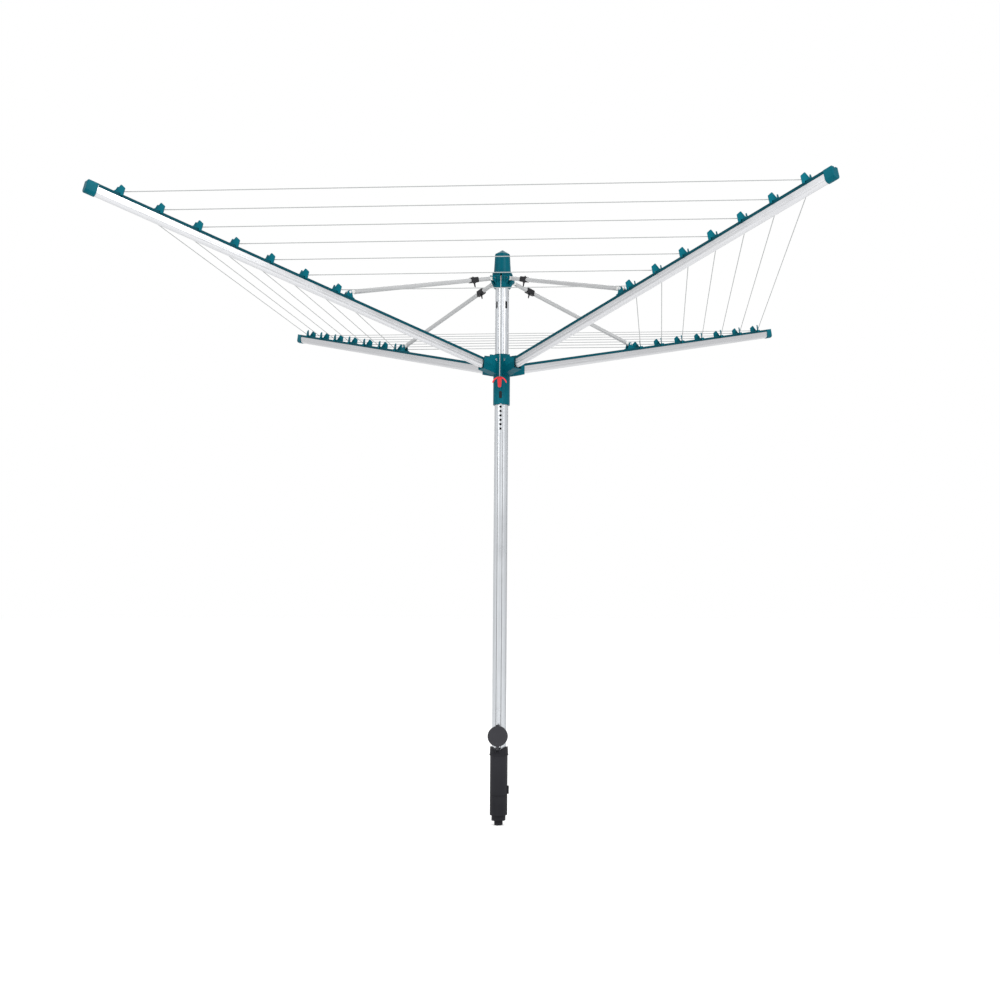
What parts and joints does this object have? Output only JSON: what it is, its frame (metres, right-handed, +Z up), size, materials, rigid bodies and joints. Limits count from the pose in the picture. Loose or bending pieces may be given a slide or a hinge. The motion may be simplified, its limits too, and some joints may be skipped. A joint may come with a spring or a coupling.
{
  "type": "rotary clothesline",
  "caption": "Rotary clothesline: a mast turning in a ground socket, tilted arms on a sliding hub, struts from a crown, and line runs between the arms that fold with them.",
  "frame": {"origin": "on the mast's axis at ground level, which is the top end of the buried sleeve", "axes": "+Z up along the mast, the arms on the diagonals of X and Y, -Y the side with the pull handle and the lid"},
  "size_m": [2.1694, 2.1694, 2.081],
  "materials": {
    "charcoal_plastic": "moulded, lightly textured",
    "lid_plastic": "moulded",
    "steel_pin": "turned",
    "mast_aluminium": "extruded, satin",
    "arm_aluminium": "extruded, satin",
    "strut_white": "satin light grey coat",
    "teal_plastic": "moulded, soft gloss",
    "teal_strip": "extruded, satin",
    "red_plastic": "moulded, soft gloss",
    "clip_plastic": "moulded",
    "bush_plastic": "moulded",
    "line_cord": "plastic-sheathed line",
    "pull_cord": "braided cord"
  },
  "bodies": {
    "ground_socket": {"socket_sleeve": "charcoal_plastic", "socket_collar": "charcoal_plastic", "lid_pin": "steel_pin"},
    "socket_lid": {"socket_lid": "lid_plastic"},
    "mast": {"mast_foot": "mast_aluminium", "mast_tube": "mast_aluminium", "crown": "teal_plastic", "crown_pins": "steel_pin", "crown_cap": "teal_plastic", "pull_cord": "pull_cord"},
    "cord_pulley": {"cord_pulley": "clip_plastic"},
    "pull_handle": {"pull_handle": "red_plastic"},
    "hub": {"hub_body": "teal_plastic", "hub_bushes": "bush_plastic", "hub_pins": "steel_pin"},
    "latch_lever": {"latch_lever": "clip_plastic"},
    "strut_1": {"strut_tube_1": "strut_white", "strut_ends_1": "bush_plastic", "hanger_clip_1": "clip_plastic"},
    "arm_1": {"arm_tube_1": "arm_aluminium", "arm_cover_1": "teal_strip", "line_guides_1": "teal_plastic", "end_cap_1": "teal_plastic", "arm_root_1": "clip_plastic", "strut_bracket_1": "teal_plastic", "bracket_pin_1": "steel_pin", "drying_lines_1": "line_cord"},
    "strut_2": {"strut_tube_2": "strut_white", "strut_ends_2": "bush_plastic", "hanger_clip_2": "clip_plastic"},
    "arm_2": {"arm_tube_2": "arm_aluminium", "arm_cover_2": "teal_strip", "line_guides_2": "teal_plastic", "end_cap_2": "teal_plastic", "arm_root_2": "clip_plastic", "strut_bracket_2": "teal_plastic", "bracket_pin_2": "steel_pin", "drying_lines_2": "line_cord"},
    "strut_3": {"strut_tube_3": "strut_white", "strut_ends_3": "bush_plastic", "hanger_clip_3": "clip_plastic"},
    "arm_3": {"arm_tube_3": "arm_aluminium", "arm_cover_3": "teal_strip", "line_guides_3": "teal_plastic", "end_cap_3": "teal_plastic", "arm_root_3": "clip_plastic", "strut_bracket_3": "teal_plastic", "bracket_pin_3": "steel_pin", "drying_lines_3": "line_cord"},
    "strut_4": {"strut_tube_4": "strut_white", "strut_ends_4": "bush_plastic", "hanger_clip_4": "clip_plastic"},
    "arm_4": {"arm_tube_4": "arm_aluminium", "arm_cover_4": "teal_strip", "line_guides_4": "teal_plastic", "end_cap_4": "teal_plastic", "arm_root_4": "clip_plastic", "strut_bracket_4": "teal_plastic", "bracket_pin_4": "steel_pin", "drying_lines_4": "line_cord"}
  },
  "joints": [
    {"name": "mast_spin", "type": "hinge", "parent": "ground_socket", "child": "mast", "pos_m": [0, 0, 0], "axis": [0, 0, 1], "continuous": true},
    {"name": "lid_hinge", "type": "hinge", "parent": "ground_socket", "child": "socket_lid", "pos_m": [0, -0.037, 0.024], "axis": [1, 0, 0], "range_deg": [0, 100]},
    {"name": "handle_pull", "type": "slide", "parent": "mast", "child": "pull_handle", "axis": [0, 0, -1], "range_m": [0, 0.93], "deforming": ["pull_cord"]},
    {"name": "pulley_spin", "type": "hinge", "parent": "mast", "child": "cord_pulley", "pos_m": [0, -0.035, 1.726], "axis": [1, 0, 0], "range_deg": [0, 7613.2]},
    {"name": "fold", "type": "hinge", "parent": "mast", "child": "strut_1", "pos_m": [0.02828, 0.02828, 1.726], "axis": [-0.7071, 0.7071, 0], "range_deg": [0, 67.81], "deforming": ["drying_lines_1", "drying_lines_2", "drying_lines_3", "drying_lines_4"]},
    {"name": "arm_1_hinge", "type": "hinge", "parent": "strut_1", "child": "arm_1", "pos_m": [0.45608, 0.45608, 1.573], "axis": [0.7071, -0.7071, 0], "range_deg": [0, 135.62]},
    {"name": "strut_2_hinge", "type": "hinge", "parent": "mast", "child": "strut_2", "pos_m": [-0.02828, 0.02828, 1.726], "axis": [-0.7071, -0.7071, 0], "range_deg": [0, 67.81]},
    {"name": "arm_2_hinge", "type": "hinge", "parent": "strut_2", "child": "arm_2", "pos_m": [-0.45608, 0.45608, 1.573], "axis": [0.7071, 0.7071, 0], "range_deg": [0, 135.62]},
    {"name": "strut_3_hinge", "type": "hinge", "parent": "mast", "child": "strut_3", "pos_m": [-0.02828, -0.02828, 1.726], "axis": [0.7071, -0.7071, 0], "range_deg": [0, 67.81]},
    {"name": "arm_3_hinge", "type": "hinge", "parent": "strut_3", "child": "arm_3", "pos_m": [-0.45608, -0.45608, 1.573], "axis": [-0.7071, 0.7071, 0], "range_deg": [0, 135.62]},
    {"name": "strut_4_hinge", "type": "hinge", "parent": "mast", "child": "strut_4", "pos_m": [0.02828, -0.02828, 1.726], "axis": [0.7071, 0.7071, 0], "range_deg": [0, 67.81]},
    {"name": "arm_4_hinge", "type": "hinge", "parent": "strut_4", "child": "arm_4", "pos_m": [0.45608, -0.45608, 1.573], "axis": [-0.7071, -0.7071, 0], "range_deg": [0, 135.62]},
    {"name": "hub_hinge", "type": "hinge", "parent": "arm_1", "child": "hub", "pos_m": [0.02828, 0.02828, 1.42], "axis": [-0.7071, 0.7071, 0], "range_deg": [0, 67.81]},
    {"name": "latch_rock", "type": "hinge", "parent": "hub", "child": "latch_lever", "pos_m": [0, -0.0282, 1.293], "axis": [1, 0, 0], "range_deg": [-8, 0], "stiffness_Nm_per_rad": 0.2}
  ],
  "couplings": [
    {"joint": "pulley_spin", "follows": "handle_pull", "rad_per_m": 142.86},
    {"joint": "arm_1_hinge", "follows": "fold", "ratio": 2},
    {"joint": "strut_2_hinge", "follows": "fold", "ratio": 1},
    {"joint": "arm_2_hinge", "follows": "fold", "ratio": 2},
    {"joint": "strut_3_hinge", "follows": "fold", "ratio": 1},
    {"joint": "arm_3_hinge", "follows": "fold", "ratio": 2},
    {"joint": "strut_4_hinge", "follows": "fold", "ratio": 1},
    {"joint": "arm_4_hinge", "follows": "fold", "ratio": 2},
    {"joint": "hub_hinge", "follows": "fold", "ratio": 1}
  ]
}
